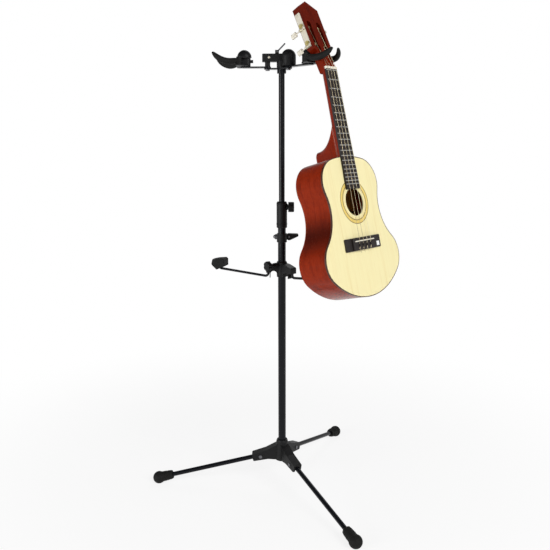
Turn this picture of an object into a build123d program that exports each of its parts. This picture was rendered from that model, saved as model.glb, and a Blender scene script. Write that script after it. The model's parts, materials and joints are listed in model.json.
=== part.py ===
"""A child's-size guitar with four strings, hung by its head on a folding floor stand for two.

Millimetres, Z up, floor at Z = 0. The stand is drawn about its mast. Each radial piece is drawn
with X pointing away from the mast and then turned to its place. The guitar is drawn flat in a
frame of its own (X across, Y towards the head, Z out of its face) and hung on the right yoke.
"""

import os
from math import atan2, cos, degrees, radians, sin, tan

from build123d import *

os.makedirs("parts", exist_ok=True)

# Clearances
RUN = 0.05          # radial clearance of a turning or sliding fit
GAP = 0.3           # gap between pieces that pass each other

# Tripod and mast
MAST_X = 37.8       # mast axis right of the footprint's middle
TUBE_R = 11.0       # lower tube
TUBE_WALL = 1.5
UPPER_R = 8.0       # upper tube
UPPER_WALL = 1.4
HUB_R = 21.0
HUB_LOW = 78.0
HUB_HIGH = 140.0
LEG_R = 6.5
LEG_WALL = 1.2
LEG_ROOT_Z = 103.5  # where the three leg axes meet on the mast
FOOT_R = 369.0      # mast to the middle of a foot
FOOT_BALL = 18.0
FOOT_Z = 15.0       # middle of a foot, lower than its radius so that it stands on a flat
PIN_AT = 64.0       # mast to leg pin
PIN_R = 3.0
LEG_TURNS = {"left": 180.0, "rear": 60.0, "front": -60.0}

# Height clutch and cam collar
CLUTCH_LOW = 768.0
CLUTCH_HIGH = 840.0
CLUTCH_R = 14.5
TUBE_TOP = 806.0
BUSH_LENGTH = 40.0
UPPER_LOW = 540.0
KNOB_Z = 825.0
STUD_R = 3.0
CAM_Z = 740.0
CAM_HEIGHT = 24.0
CAM_Y = 20.0        # cam bolt behind the mast
EAR_X = 11.0

# Backrest
BACK_LOW = 629.0
BACK_HIGH = 674.0
BACK_R = 14.5
WING_REACH = 44.0
ROD_AT = 38.0       # mast to the arm's upright pivot
ROD_R = 3.5
PAD_Z = 664.0
PAD_HALF = 17.0
BACK_SWING = {"left": -18.0, "right": 0.0}
BACK_KNOB_TURN = 215.0
BACK_KNOB_Z = 664.0

# Head of the stand
PLATE_LOW = 1187.5
PLATE_HIGH = 1191.0
ARM_LOW = PLATE_HIGH + GAP
ARM_HIGH = ARM_LOW + 3.5
BLOCK_LOW = 1207.0
BLOCK_HIGH = 1227.0
DOME_R = 19.0
DOME_HIGH = 1237.0
ARM_TURNS = {"left": 180.0, "right": -43.0}
ARM_PIVOTS = {"left": 37.0, "right": 25.0}
LEVER_X = -12.0
LEVER_Z = 1232.0
YOKE_AT = 99.0      # mast to the middle of a yoke
YOKE_HIGH = 1237.0
YOKE_R = 19.0       # dome over a yoke
GATE_X = YOKE_AT + 12.0
GATE_Y = 29.0       # half the distance between the two gate pins
GATE_LOW = 1198.0
GATE_HIGH = 1214.0
GATE_OPEN = {"left": 36.0, "right": 0.0}

# Guitar
SCALE = 427.0       # zero fret to saddle
FRETS = 19
BODY_TOP = -SCALE / 2
BODY_LENGTH = 354.0
BODY_END = BODY_TOP - BODY_LENGTH
UPPER_BOUT = 110.0  # half widths of the body and where they lie
UPPER_Y = BODY_TOP - 0.19 * BODY_LENGTH
WAIST = 98.0
WAIST_Y = BODY_TOP - 0.37 * BODY_LENGTH
LOWER_BOUT = 151.0
LOWER_Y = BODY_TOP - 0.725 * BODY_LENGTH
BOUT_ROUND = 62.0   # radius of the upper bout
DEPTH = 86.0
BOARD = 2.5
RIB = 2.2
BINDING = 2.0
BINDING_DEPTH = 4.5
HOLE_Y = -329.0
HOLE_R = 35.0
ROSETTE_IN = 40.0
ROSETTE_OUT = 55.5
ROSETTE_DEPTH = 0.8
NUT_WIDTH = 42.0
NECK_JOIN_WIDTH = 50.0
NECK_DEPTH = 19.0
FINGER_THICK = 5.0
FINGER_END = -297.0
FRET_R = 1.1
STRINGS = 4
STRING_R = 0.45
NUT_SPAN = 33.0
BRIDGE_SPAN = 46.0
BRIDGE_LENGTH = 143.0
BRIDGE_WIDTH = 32.0
BRIDGE_HIGH = 8.5
SADDLE_LENGTH = 77.0
SADDLE_HIGH = 10.4
PIN_Y = -SCALE - 11.0
LEAN = 14.6         # the guitar's back tips this far towards the mast at the top

# Head of the guitar
NUT_Y = 9.0
HEAD_ANGLE = 12.0
HEAD_HALF = 37.5
HEAD_THICK = 19.0
HEAD_SHOULDER = 57.6
HEAD_SIDE_END = 163.0
HEAD_APEX = 184.0
SLOT_X = 18.0
SLOT_HALF = 6.8
SLOT_LOW = 54.0
SLOT_HIGH = 126.0
ROLLER_R = 4.5
ROLLERS = {"near": 67.5, "far": 113.5}
GEAR_R = 6.0
WORM_R = 2.6
PLATE_THICK = 1.2
PLATE_LENGTH = 92.0

# Where the guitar hangs
HANG_AT = 149.5     # mast to the middle of the neck in the yoke
HANG_Y = 24.0       # that point on the guitar, above the zero fret
HANG_DEPTH = 9.0    # and below its face
HANG_Z = 1193.5

STAND = Pos(MAST_X, 0, 0)
lean = radians(LEAN)
along = (-sin(lean), 0, cos(lean))
outward = (cos(lean), 0, sin(lean))
zero_fret = (
    HANG_AT - HANG_Y * along[0] + HANG_DEPTH * outward[0],
    0,
    HANG_Z - HANG_Y * along[2] + HANG_DEPTH * outward[2],
)


def turned(azimuth):
    """Place of a piece drawn with X pointing away from the mast."""
    return STAND * Rot(0, 0, azimuth)


GUITAR = turned(ARM_TURNS["right"]) * Plane(zero_fret, x_dir=(0, 1, 0), z_dir=outward).location
HEAD = Plane(
    (0, NUT_Y, 0),
    x_dir=(1, 0, 0),
    z_dir=(0, sin(radians(HEAD_ANGLE)), cos(radians(HEAD_ANGLE))),
)


def radial(azimuth):
    """Upright plane through the mast: X away from it, Y up."""
    turn = radians(azimuth)
    return Plane((0, 0, 0), x_dir=(cos(turn), sin(turn), 0), z_dir=(sin(turn), -cos(turn), 0))


def save(builder, label, place):
    placed = place * builder.part
    placed.label = label
    export_step(placed, f"parts/{label}.step")


def rod(start, end, radius, mode=Mode.ADD):
    """Round bar from one point to another."""
    axis = Vector(*end) - Vector(*start)
    with Locations(Plane(start, z_dir=axis).location):
        Cylinder(radius, axis.length, align=(Align.CENTER, Align.CENTER, Align.MIN), mode=mode)


def block(low, high, mode=Mode.ADD):
    """Box between two opposite corners."""
    size = [b - a for a, b in zip(low, high)]
    middle = tuple((a + b) / 2 for a, b in zip(low, high))
    with Locations(middle):
        Box(*size, mode=mode)


def spun(points):
    """Solid turned about the mast from an outline of radius and height."""
    with BuildSketch(Plane.XZ) as outline:
        with BuildLine():
            Polyline(*points, close=True)
        make_face()
    revolve(outline.sketch, axis=Axis.Z)


# Leg line, shared by hub, legs and feet
leg_fall = atan2(LEG_ROOT_Z - FOOT_Z, FOOT_R)
leg_pin = (PIN_AT, LEG_ROOT_Z - PIN_AT * tan(leg_fall))
leg_length = (FOOT_R - PIN_AT) / cos(leg_fall)
leg_out = (cos(leg_fall), 0, -sin(leg_fall))


def on_leg(out, above=0.0):
    """Radius and height of a point measured from the pin, along the leg and square to it."""
    return (
        leg_pin[0] + out * cos(leg_fall) + above * sin(leg_fall),
        leg_pin[1] - out * sin(leg_fall) + above * cos(leg_fall),
    )


def on_leg_3d(out):
    r, z = on_leg(out)
    return (r, 0, z)


# Tripod

def base_hub():
    socket = 24.0
    roof = LEG_R + GAP
    planes = [radial(turn) for turn in LEG_TURNS.values()]
    with BuildPart() as hub:
        spun([(1, HUB_LOW), (HUB_R, HUB_LOW), (HUB_R + 2, HUB_LOW + 10), (HUB_R - 4, HUB_HIGH - 5),
              (HUB_R - 6, HUB_HIGH), (1, HUB_HIGH)])
        with BuildSketch(*planes):
            with BuildLine():
                Polyline((6, HUB_HIGH - 9), on_leg(-20, 16), on_leg(socket, roof + 5), on_leg(socket, -9),
                         on_leg(-20, -12), (6, HUB_LOW + 1), close=True)
            make_face()
            fillet([v for v in vertices() if v.X > 20], 3)
        extrude(amount=LEG_R + GAP + 6, both=True)
        with BuildSketch(*planes):
            with BuildLine():
                Polyline(on_leg(-9, roof), on_leg(60, roof), on_leg(60, -60), on_leg(-9, -60), close=True)
            make_face()
        extrude(amount=LEG_R + GAP, both=True, mode=Mode.SUBTRACT)
        for turn in LEG_TURNS.values():
            side = radians(turn + 90)
            middle = Vector(leg_pin[0] * cos(radians(turn)), leg_pin[0] * sin(radians(turn)), leg_pin[1])
            reach = Vector(20 * cos(side), 20 * sin(side), 0)
            rod(tuple(middle - reach), tuple(middle + reach), PIN_R, Mode.SUBTRACT)
        rod((0, 0, HUB_LOW + 4), (0, 0, HUB_HIGH), TUBE_R, Mode.SUBTRACT)
    save(hub, "base_hub", STAND)


def leg_pins():
    half = LEG_R + GAP + 6
    with BuildPart() as pins:
        for turn in LEG_TURNS.values():
            with Locations(Rot(0, 0, turn) * Pos(leg_pin[0], 0, leg_pin[1]) * Rot(90, 0, 0)):
                Cylinder(PIN_R, 2 * half)
            for side in (-1, 1):
                with Locations(Rot(0, 0, turn) * Pos(leg_pin[0], side * (half + 1), leg_pin[1]) * Rot(90, 0, 0)):
                    Cylinder(PIN_R + 2, 2)
    save(pins, "leg_pins", STAND)


def legs_and_feet():
    end = leg_length - 6
    for name, turn in LEG_TURNS.items():
        with BuildPart() as leg:
            rod(on_leg_3d(0), on_leg_3d(end), LEG_R)
            with Locations(on_leg_3d(0)):
                Sphere(LEG_R)
            rod(on_leg_3d(22), on_leg_3d(end), LEG_R - LEG_WALL, Mode.SUBTRACT)
            rod((leg_pin[0], -20, leg_pin[1]), (leg_pin[0], 20, leg_pin[1]), PIN_R + RUN, Mode.SUBTRACT)
        save(leg, f"leg_{name}", turned(turn))
        shank = LEG_R + 8.5
        neck = (FOOT_BALL**2 - shank**2) ** 0.5
        middle = on_leg_3d(leg_length)
        with BuildPart() as foot:
            with BuildSketch(Plane(middle, x_dir=leg_out, z_dir=(0, -1, 0))):
                with BuildLine():
                    Polyline((-neck, shank), (-41, LEG_R + 6), (-43, LEG_R + 4), (-43, LEG_R), (-6, LEG_R),
                             (-6, 0), (FOOT_BALL, 0))
                    ThreePointArc((FOOT_BALL, 0), (0, FOOT_BALL), (-neck, shank))
                make_face()
            revolve(axis=Axis(middle, leg_out))
            split(bisect_by=Plane.XY, keep=Keep.TOP)
        save(foot, f"foot_{name}", turned(turn))


# Mast, clutch and cam collar

def mast():
    with BuildPart() as lower:
        rod((0, 0, HUB_LOW + 4), (0, 0, TUBE_TOP), TUBE_R)
        rod((0, 0, HUB_LOW + 4), (0, 0, TUBE_TOP), TUBE_R - TUBE_WALL, Mode.SUBTRACT)
    save(lower, "lower_tube", STAND)
    with BuildPart() as bush:
        rod((0, 0, TUBE_TOP - BUSH_LENGTH), (0, 0, TUBE_TOP), TUBE_R - TUBE_WALL)
        rod((0, 0, TUBE_TOP - BUSH_LENGTH), (0, 0, TUBE_TOP), UPPER_R + RUN, Mode.SUBTRACT)
    save(bush, "guide_bush", STAND)
    with BuildPart() as upper:
        rod((0, 0, UPPER_LOW), (0, 0, BLOCK_LOW - 4), UPPER_R)
        rod((0, 0, UPPER_LOW), (0, 0, BLOCK_LOW - 4), UPPER_R - UPPER_WALL, Mode.SUBTRACT)
    save(upper, "upper_tube", STAND)
    with BuildPart() as shoe:
        foot_r = TUBE_R - TUBE_WALL - RUN
        rod((0, 0, UPPER_LOW - 6), (0, 0, UPPER_LOW), foot_r)
        rod((0, 0, UPPER_LOW), (0, 0, UPPER_LOW + 20), UPPER_R - UPPER_WALL)
    save(shoe, "tube_shoe", STAND)


def clutch():
    boss_end = CLUTCH_R + 3
    with BuildPart() as sleeve:
        spun([(1, CLUTCH_LOW), (CLUTCH_R - 1, CLUTCH_LOW), (CLUTCH_R, CLUTCH_LOW + 2), (CLUTCH_R, CLUTCH_HIGH - 4),
              (CLUTCH_R - 2, CLUTCH_HIGH), (1, CLUTCH_HIGH)])
        rod((0, 0, KNOB_Z), (boss_end, 0, KNOB_Z), 8)
        rod((0, 0, KNOB_Z), (boss_end, 0, KNOB_Z), STUD_R + RUN, Mode.SUBTRACT)
        rod((0, 0, CLUTCH_LOW), (0, 0, TUBE_TOP), TUBE_R, Mode.SUBTRACT)
        rod((0, 0, CLUTCH_LOW), (0, 0, CLUTCH_HIGH), UPPER_R + GAP, Mode.SUBTRACT)
    save(sleeve, "clutch_sleeve", STAND)
    face = boss_end + GAP
    with BuildPart() as knob:
        rod((UPPER_R + 2 * GAP, 0, KNOB_Z), (face, 0, KNOB_Z), STUD_R)
        with BuildSketch(Plane.YZ.offset(face)):
            with Locations((0, KNOB_Z)):
                Circle(14)
                with PolarLocations(0, 5):
                    with Locations((16, 0)):
                        Circle(5, mode=Mode.SUBTRACT)
        extrude(amount=16)
        fillet(faces().sort_by(Axis.X)[-1].outer_wire().edges(), 3)
    save(knob, "clutch_knob", STAND)


def cam():
    eye_x = EAR_X + 9.5
    low = CAM_Z - CAM_HEIGHT / 2
    high = CAM_Z + CAM_HEIGHT / 2
    with BuildPart() as collar:
        rod((0, 0, low), (0, 0, high), TUBE_R + 3)
        with BuildSketch(Plane.XY.offset(low)):
            with Locations((0, CAM_Y / 2 + 4)):
                RectangleRounded(2 * EAR_X, CAM_Y + 6, 3)
        extrude(amount=CAM_HEIGHT)
        block((-1, 0, low), (1, CAM_Y + 8, high), Mode.SUBTRACT)
        rod((0, 0, low), (0, 0, high), TUBE_R, Mode.SUBTRACT)
        rod((-EAR_X, CAM_Y, CAM_Z), (EAR_X, CAM_Y, CAM_Z), STUD_R, Mode.SUBTRACT)
    save(collar, "cam_collar", STAND)
    with BuildPart() as bolt:
        rod((-EAR_X - 4, CAM_Y, CAM_Z), (eye_x, CAM_Y, CAM_Z), STUD_R)
        rod((-EAR_X - 8, CAM_Y, CAM_Z), (-EAR_X, CAM_Y, CAM_Z), 7.5)
        with Locations((-EAR_X - 8, CAM_Y, CAM_Z)):
            Sphere(5.5)
        rod((eye_x, CAM_Y - STUD_R, CAM_Z), (eye_x, CAM_Y + STUD_R, CAM_Z), 5.5)
        rod((eye_x, CAM_Y - 7.5, CAM_Z), (eye_x, CAM_Y + 7.5, CAM_Z), 2.5)
    save(bolt, "cam_bolt", STAND)
    with BuildPart() as lever:
        with BuildSketch(Plane.XZ.offset(-CAM_Y)):
            with BuildSketch(mode=Mode.PRIVATE) as rounds:
                with Locations((eye_x, CAM_Z)):
                    Circle(9.5 - GAP)
                with Locations((eye_x + 22, CAM_Z + 4.5)):
                    Circle(4)
            make_hull(rounds.sketch.edges())
        extrude(amount=7.5, both=True)
        slot = STUD_R + GAP
        block((eye_x - 12, CAM_Y - slot, CAM_Z - 12), (eye_x + 7, CAM_Y + slot, CAM_Z + 12), Mode.SUBTRACT)
        rod((eye_x, CAM_Y - 9, CAM_Z), (eye_x, CAM_Y + 9, CAM_Z), 2.5 + RUN, Mode.SUBTRACT)
    save(lever, "cam_lever", STAND)


# Backrest

def back_reach(height):
    """Distance from the mast to the guitar's back at a height."""
    down = (zero_fret[2] - height - DEPTH * outward[2]) / along[2]
    return zero_fret[0] - down * along[0] - DEPTH * outward[0]


def backrest():
    arch = 9.0
    planes = [radial(turn) for turn in ARM_TURNS.values()]
    with BuildPart() as carriage:
        spun([(1, BACK_LOW + 2), (BACK_R - 1, BACK_LOW + 2), (BACK_R, BACK_LOW + 6), (BACK_R, BACK_HIGH - 3),
              (BACK_R - 2, BACK_HIGH), (1, BACK_HIGH)])
        with BuildSketch(*planes):
            with BuildLine():
                Polyline((2, BACK_LOW + 2), (2, BACK_HIGH - 5), (BACK_R + 6, BACK_HIGH - 7),
                         (WING_REACH, BACK_HIGH - 15), (WING_REACH, BACK_LOW), (WING_REACH - 12, BACK_LOW),
                         (WING_REACH - 12, BACK_LOW + 2), close=True)
            make_face()
            fillet([v for v in vertices() if v.Y > BACK_HIGH - 20 and v.X > 10], 5)
            with Locations((WING_REACH - 12 - arch, BACK_LOW + 10)):
                Circle(arch, mode=Mode.SUBTRACT)
            with Locations((WING_REACH - 12 - arch, BACK_LOW)):
                Rectangle(2 * arch, 20, mode=Mode.SUBTRACT)
        extrude(amount=11, both=True)
        knob_out = Vector(cos(radians(BACK_KNOB_TURN)), sin(radians(BACK_KNOB_TURN)), 0)
        centre = Vector(0, 0, BACK_KNOB_Z)
        rod(tuple(centre), tuple(centre + knob_out * 29), 7)
        rod(tuple(centre), tuple(centre + knob_out * 30), STUD_R + RUN, Mode.SUBTRACT)
        for turn in ARM_TURNS.values():
            spot = Vector(ROD_AT * cos(radians(turn)), ROD_AT * sin(radians(turn)), BACK_LOW)
            rod(tuple(spot), tuple(spot + Vector(0, 0, 28)), ROD_R + RUN, Mode.SUBTRACT)
            with Locations(Rot(0, 0, turn) * Pos(WING_REACH, 0, BACK_LOW)):
                Box(2 * (WING_REACH - ROD_AT + ROD_R + GAP), 30, 2 * 14, mode=Mode.SUBTRACT)
        rod((0, 0, BACK_LOW), (0, 0, BACK_HIGH), TUBE_R + RUN, Mode.SUBTRACT)
    save(carriage, "backrest_carriage", STAND)
    with BuildPart() as knob:
        rod((TUBE_R + 2 * GAP, 0, BACK_KNOB_Z), (30, 0, BACK_KNOB_Z), STUD_R)
        rod((29 + GAP, 0, BACK_KNOB_Z), (43, 0, BACK_KNOB_Z), 6)
        with BuildSketch(Plane.YZ.offset(42)):
            with Locations((0, BACK_KNOB_Z)):
                Circle(14)
                with PolarLocations(0, 6):
                    with Locations((15.5, 0)):
                        Circle(3.2, mode=Mode.SUBTRACT)
        extrude(amount=11)
        fillet(faces().sort_by(Axis.X)[-1].outer_wire().edges(), 2)
    save(knob, "backrest_knob", turned(BACK_KNOB_TURN))
    face = back_reach(PAD_Z) - GAP
    slope = tan(lean)
    for name, turn in ARM_TURNS.items():
        with BuildPart() as arm:
            with BuildLine(Plane.XZ) as route:
                FilletPolyline((ROD_AT, BACK_LOW + 26), (ROD_AT, BACK_LOW + 2), (face - 22, PAD_Z - 18),
                               (face - 14, PAD_Z + 4), radius=9)
            with BuildSketch(Plane((ROD_AT, 0, BACK_LOW + 26), z_dir=(0, 0, -1))):
                Circle(ROD_R)
            sweep()
        place = turned(turn) * Pos(ROD_AT, 0, 0) * Rot(0, 0, BACK_SWING[name]) * Pos(-ROD_AT, 0, 0)
        save(arm, f"backrest_arm_{name}", place)
        with BuildPart() as pad:
            with BuildSketch(Plane.XZ):
                with BuildLine():
                    Polyline((face - 8 * slope, PAD_Z + 8), (face - 28, PAD_Z + 13), (face - 33, PAD_Z + 9),
                             (face - 33, PAD_Z - 10), (face - 18, PAD_Z - 21), (face - 11, PAD_Z - 14),
                             (face + 5 * slope, PAD_Z - 5), close=True)
                make_face()
                fillet(vertices(), 2)
            extrude(amount=PAD_HALF, both=True)
            upright = Plane((face, 0, PAD_Z), x_dir=(cos(lean), 0, sin(lean)), z_dir=(-sin(lean), 0, cos(lean)))
            with BuildSketch(upright.offset(-50)):
                with BuildLine():
                    Polyline((0, PAD_HALF), (-60, PAD_HALF), (-60, -PAD_HALF), (0, -PAD_HALF), close=True)
                make_face()
                fillet([v for v in vertices() if v.X > -1], 12)
            extrude(amount=100, mode=Mode.INTERSECT)
            add(arm.part, mode=Mode.SUBTRACT)
        save(pad, f"backrest_pad_{name}", place)


# Head of the stand

def pivot_spot(name):
    turn = radians(ARM_TURNS[name])
    return (ARM_PIVOTS[name] * cos(turn), ARM_PIVOTS[name] * sin(turn))


def head():
    spots = [pivot_spot(name) for name in ARM_TURNS]
    with BuildPart() as plate:
        for spot in spots:
            with BuildSketch(Plane.XY.offset(PLATE_LOW)) as web:
                with BuildSketch(mode=Mode.PRIVATE) as rounds:
                    Circle(13)
                    with Locations(spot):
                        Circle(9)
                make_hull(rounds.sketch.edges())
            extrude(web.sketch, amount=PLATE_HIGH - PLATE_LOW)
        rod((0, 0, PLATE_LOW - 10), (0, 0, PLATE_LOW), 12)
        rod((0, 0, PLATE_LOW - 10), (0, 0, PLATE_HIGH), UPPER_R, Mode.SUBTRACT)
        for spot in spots:
            rod((*spot, PLATE_LOW), (*spot, PLATE_HIGH), PIN_R, Mode.SUBTRACT)
    save(plate, "head_plate", STAND)
    left, right = spots
    with BuildPart() as casting:
        with BuildSketch(Plane.XY.offset(BLOCK_LOW)):
            with Locations((left[0] / 2 - 2, 0)):
                RectangleRounded(-left[0] + 24, 22, 4)
        extrude(amount=BLOCK_HIGH - BLOCK_LOW)
        fillet(edges().filter_by(Plane.XY).group_by(Axis.Z)[-1], 2)
        rod((0, 0, PLATE_HIGH), (0, 0, BLOCK_LOW + 2), 13)
        rod((*left, ARM_HIGH + GAP), (*left, BLOCK_LOW + 2), 7)
        with BuildSketch(Plane((*right, 0), x_dir=(1, 0, 0), z_dir=(0, -1, 0))):
            with BuildLine():
                Polyline((0, DOME_HIGH), (0, ARM_HIGH + GAP), (DOME_R - 2, ARM_HIGH + GAP), (DOME_R, ARM_HIGH + 4),
                         (DOME_R, DOME_HIGH - DOME_R))
                CenterArc((0, DOME_HIGH - DOME_R), DOME_R, 0, arc_size=90)
            make_face()
        revolve(axis=Axis((*right, 0), (0, 0, 1)))
        for side in (-1, 1):
            block((LEVER_X - 5, side * 7 - 2, BLOCK_HIGH - 1), (LEVER_X + 5, side * 7 + 2, LEVER_Z + 4))
        rod((LEVER_X, -9, LEVER_Z), (LEVER_X, 9, LEVER_Z), 2, Mode.SUBTRACT)
        rod((0, 0, PLATE_HIGH), (0, 0, BLOCK_LOW - 4), UPPER_R, Mode.SUBTRACT)
        for spot in spots:
            rod((*spot, ARM_HIGH), (*spot, BLOCK_LOW + 8), PIN_R, Mode.SUBTRACT)
    save(casting, "head_block", STAND)
    with BuildPart() as bolts:
        for spot in spots:
            rod((*spot, PLATE_LOW - 3), (*spot, PLATE_LOW), 5.5)
            rod((*spot, PLATE_LOW), (*spot, BLOCK_LOW + 8), PIN_R)
        rod((LEVER_X, -9, LEVER_Z), (LEVER_X, 9, LEVER_Z), 2)
    save(bolts, "head_bolts", STAND)
    with BuildPart() as lever:
        rod((LEVER_X, -5 + GAP, LEVER_Z), (LEVER_X, 5 - GAP, LEVER_Z), 4)
        with BuildSketch(Plane((LEVER_X, 0, LEVER_Z), x_dir=(0, 1, 0), z_dir=(-0.707, 0, 0.707))):
            with Locations((0, -15)):
                RectangleRounded(9, 30, 3)
        extrude(amount=1.5, both=True)
        rod((LEVER_X, -9, LEVER_Z), (LEVER_X, 9, LEVER_Z), 2 + RUN, Mode.SUBTRACT)
    save(lever, "lock_lever", STAND)


def yokes():
    for name, turn in ARM_TURNS.items():
        pivot = ARM_PIVOTS[name]
        with BuildPart() as arm:
            with BuildSketch(Plane.XY.offset(ARM_LOW)):
                with Locations(((pivot + YOKE_AT) / 2, 0)):
                    SlotOverall(YOKE_AT - pivot + 18, 18)
                with Locations((pivot, 0)):
                    Circle(PIN_R + RUN, mode=Mode.SUBTRACT)
            extrude(amount=ARM_HIGH - ARM_LOW)
        save(arm, f"arm_{name}", turned(turn))
        yoke(name, turned(turn))


def yoke(name, place):
    lid = GATE_HIGH + GAP
    with BuildPart() as base:
        for low, high, eye in ((ARM_HIGH, GATE_LOW - GAP, 8.0), (lid, lid + 2.5, 6.5)):
            with BuildSketch(Plane.XY.offset(low)) as flange:
                with BuildSketch(mode=Mode.PRIVATE) as rounds:
                    with Locations((YOKE_AT - 6, -10), (YOKE_AT - 6, 10)):
                        Circle(11)
                    with Locations((GATE_X, -GATE_Y), (GATE_X, GATE_Y)):
                        Circle(eye)
                make_hull(rounds.sketch.edges())
            extrude(flange.sketch, amount=high - low)
        with BuildSketch(Plane.XY.offset(ARM_HIGH)) as core:
            with Locations((YOKE_AT - 1, 0)):
                RectangleRounded(32, 34, 8)
        dome_low = GATE_HIGH + 4
        extrude(core.sketch, amount=dome_low - ARM_HIGH)
        with BuildSketch(Plane((YOKE_AT - 1, 0, dome_low), x_dir=(1, 1, 0), z_dir=(1, -1, 0))) as bulb:
            with BuildLine():
                Line((0, YOKE_HIGH - dome_low), (0, 0))
                Line((0, 0), (YOKE_R, 0))
                EllipticalCenterArc((0, 0), YOKE_R, YOKE_HIGH - dome_low, 0, arc_size=90)
            make_face()
        revolve(bulb.sketch, axis=Axis((YOKE_AT - 1, 0, 0), (0, 0, 1)))
        rod((YOKE_AT - 24, 0, GATE_HIGH - 6), (YOKE_AT - 10, 0, GATE_HIGH - 6), 4)
        for side in (-1, 1):
            rod((GATE_X, side * GATE_Y, GATE_LOW - 1), (GATE_X, side * GATE_Y, GATE_HIGH + 1), PIN_R)
    save(base, f"yoke_base_{name}", place)
    with BuildPart() as cushion:
        with BuildSketch(Plane.XY.offset(GATE_LOW)):
            with Locations((YOKE_AT + 18.5, 0)):
                Rectangle(7, 34)
            with Locations((YOKE_AT + 62, 0)):
                Circle(42, mode=Mode.SUBTRACT)
        extrude(amount=GATE_HIGH - GATE_LOW)
    save(cushion, f"yoke_cushion_{name}", place)
    near_side = 1 if name == "left" else -1
    for label, side in (("near", near_side), ("far", -near_side)):
        pin = Pos(GATE_X, side * GATE_Y, 0)
        swing = pin * Rot(0, 0, side * GATE_OPEN[name]) * Pos(-GATE_X, -side * GATE_Y, 0)
        save(gate(side), f"gate_{name}_{label}", place * swing)


def gate(side):
    """Curved prong that dips under the head's shoulder and rises in front of the neck."""
    middle = (GATE_LOW + GATE_HIGH) / 2
    stations = [
        (4, 0, middle, 13, 14.5),
        (11, 0.5, middle, 13, 14.8),
        (25, 2, middle - 2, 14, 16),
        (40, 2, middle - 2, 14, 16),
        (55, -3, middle + 3, 13, 15),
        (65, -12, middle + 13, 10, 11),
        (68, -18, middle + 19, 5, 5),
    ]
    with BuildPart() as prong:
        sections = []
        for i, (x, y, z, wide, high) in enumerate(stations):
            before = Vector(*stations[max(i - 1, 0)][:3])
            after = Vector(*stations[min(i + 1, len(stations) - 1)][:3])
            run = after - before
            heading = Vector(run.X, run.Y * side, run.Z)
            sideways = Vector(0, 0, 1).cross(heading)
            spot = (GATE_X + x, side * (GATE_Y + y), z)
            with BuildSketch(Plane(spot, x_dir=sideways, z_dir=heading)) as section:
                Ellipse(wide / 2, high / 2)
            sections.append(section.sketch)
        loft(sections)
        rod((GATE_X, side * GATE_Y, GATE_LOW), (GATE_X, side * GATE_Y, GATE_HIGH), 8)
        rod((GATE_X, side * GATE_Y, GATE_LOW - 5), (GATE_X, side * GATE_Y, GATE_HIGH + 5), PIN_R + RUN, Mode.SUBTRACT)
    return prong


# Guitar body

def between(centre, radius, start, end):
    """Point half way along the arc from start to end about a centre."""
    middle = (Vector(*start) + Vector(*end)) / 2 - Vector(*centre)
    return Vector(*centre) + middle.normalized() * radius


def towards(centre, other, distance):
    """Point at a distance from a centre, on the line to another point."""
    return Vector(*centre) + (Vector(*other) - Vector(*centre)).normalized() * distance


def outline(inset=0.0):
    """Outline of the guitar's body, five arcs a side, drawn in from the edge by an inset."""
    shoulder = BOUT_ROUND
    waist_round = ((UPPER_BOUT - WAIST) ** 2 + (UPPER_Y - WAIST_Y) ** 2) / (2 * (UPPER_BOUT - WAIST)) - shoulder
    hip = ((LOWER_BOUT - WAIST) ** 2 + (WAIST_Y - LOWER_Y) ** 2) / (2 * (LOWER_BOUT - WAIST)) - waist_round
    upper = (UPPER_BOUT - shoulder, UPPER_Y)
    pinch = (WAIST + waist_round, WAIST_Y)
    lower = (LOWER_BOUT - hip, LOWER_Y)
    rise = BODY_TOP - UPPER_Y
    drop = LOWER_Y - BODY_END
    crown_round = (upper[0] ** 2 + rise**2 - shoulder**2) / (2 * (rise - shoulder))
    seat_round = (lower[0] ** 2 + drop**2 - hip**2) / (2 * (drop - hip))
    crown = (0, BODY_TOP - crown_round)
    seat = (0, BODY_END + seat_round)
    start = (0, BODY_TOP)
    end = (0, BODY_END)
    joins = [
        towards(crown, upper, crown_round),
        towards(upper, pinch, shoulder),
        towards(lower, pinch, hip),
        towards(seat, lower, seat_round),
    ]
    with BuildSketch() as shape:
        with BuildLine():
            ThreePointArc(start, between(crown, crown_round, start, joins[0]), joins[0])
            ThreePointArc(joins[0], (UPPER_BOUT, UPPER_Y), joins[1])
            ThreePointArc(joins[1], (WAIST, WAIST_Y), joins[2])
            ThreePointArc(joins[2], (LOWER_BOUT, LOWER_Y), joins[3])
            ThreePointArc(joins[3], between(seat, seat_round, joins[3], end), end)
            mirror(about=Plane.YZ)
        make_face()
        if inset:
            offset(amount=-inset)
    return shape.sketch


def string_spot(i, span):
    return span * (i / (STRINGS - 1) - 0.5)


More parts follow.
